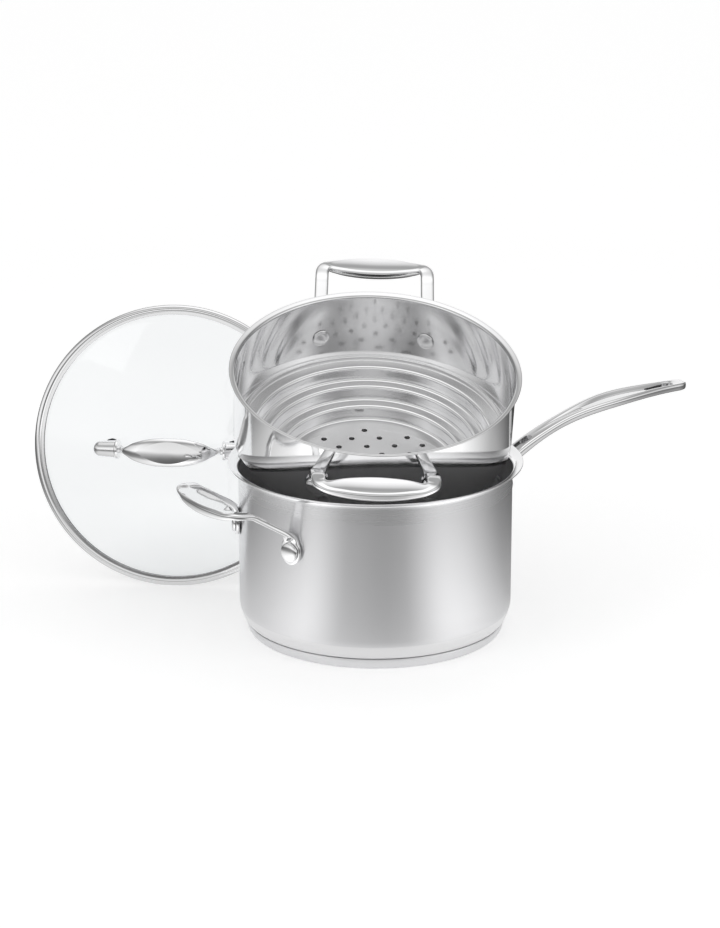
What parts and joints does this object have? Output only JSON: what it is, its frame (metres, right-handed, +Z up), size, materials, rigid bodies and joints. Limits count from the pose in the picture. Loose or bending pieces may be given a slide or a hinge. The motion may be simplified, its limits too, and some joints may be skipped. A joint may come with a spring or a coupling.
{
  "type": "saucepan with steamer insert",
  "caption": "Stainless steel saucepan with a long cast handle and a helper handle, a stepped steamer insert resting tilted in it, and a glass lid standing on edge beside it.",
  "frame": {"origin": "centre of the saucepan's flat underside, on the counter", "axes": "+Z up out of the saucepan, +X out along the long handle"},
  "size_m": [0.4497, 0.3644, 0.2434],
  "materials": {
    "brushed_steel": "circular brushed satin",
    "polished_steel": "mirror polished stainless steel",
    "cast_steel": "polished cast stainless steel",
    "aluminium": "plain",
    "glass": "clear polished",
    "silicone": "matte"
  },
  "bodies": {
    "saucepan": {"pot_body": "brushed_steel", "base_core": "aluminium", "base_cap": "brushed_steel", "long_handle": "cast_steel", "long_handle_rivet_left": "polished_steel", "long_handle_rivet_right": "polished_steel", "helper_handle": "cast_steel", "helper_rivet_left": "polished_steel", "helper_rivet_right": "polished_steel"},
    "steamer": {"steamer_body": "polished_steel", "steamer_front_handle": "cast_steel", "steamer_front_rivet_left": "polished_steel", "steamer_front_rivet_right": "polished_steel", "steamer_rear_handle": "cast_steel", "steamer_rear_rivet_left": "polished_steel", "steamer_rear_rivet_right": "polished_steel"},
    "lid": {"lid_glass": "glass", "lid_band": "polished_steel", "lid_handle": "cast_steel", "lid_foot_right": "polished_steel", "lid_foot_left": "polished_steel", "lid_pad_right": "silicone", "lid_pad_left": "silicone", "lid_washer_right": "silicone", "lid_washer_left": "silicone", "lid_screw_right": "polished_steel", "lid_screw_left": "polished_steel"}
  },
  "joints": [
    {"name": "steamer_lift", "type": "slide", "parent": "saucepan", "child": "steamer", "axis": [0, 0, 1], "range_m": [0, 0.2]},
    {"name": "lid_lift", "type": "slide", "parent": "saucepan", "child": "lid", "axis": [-0.5141, 0.309, 0.8001], "range_m": [0, 0.2]}
  ]
}
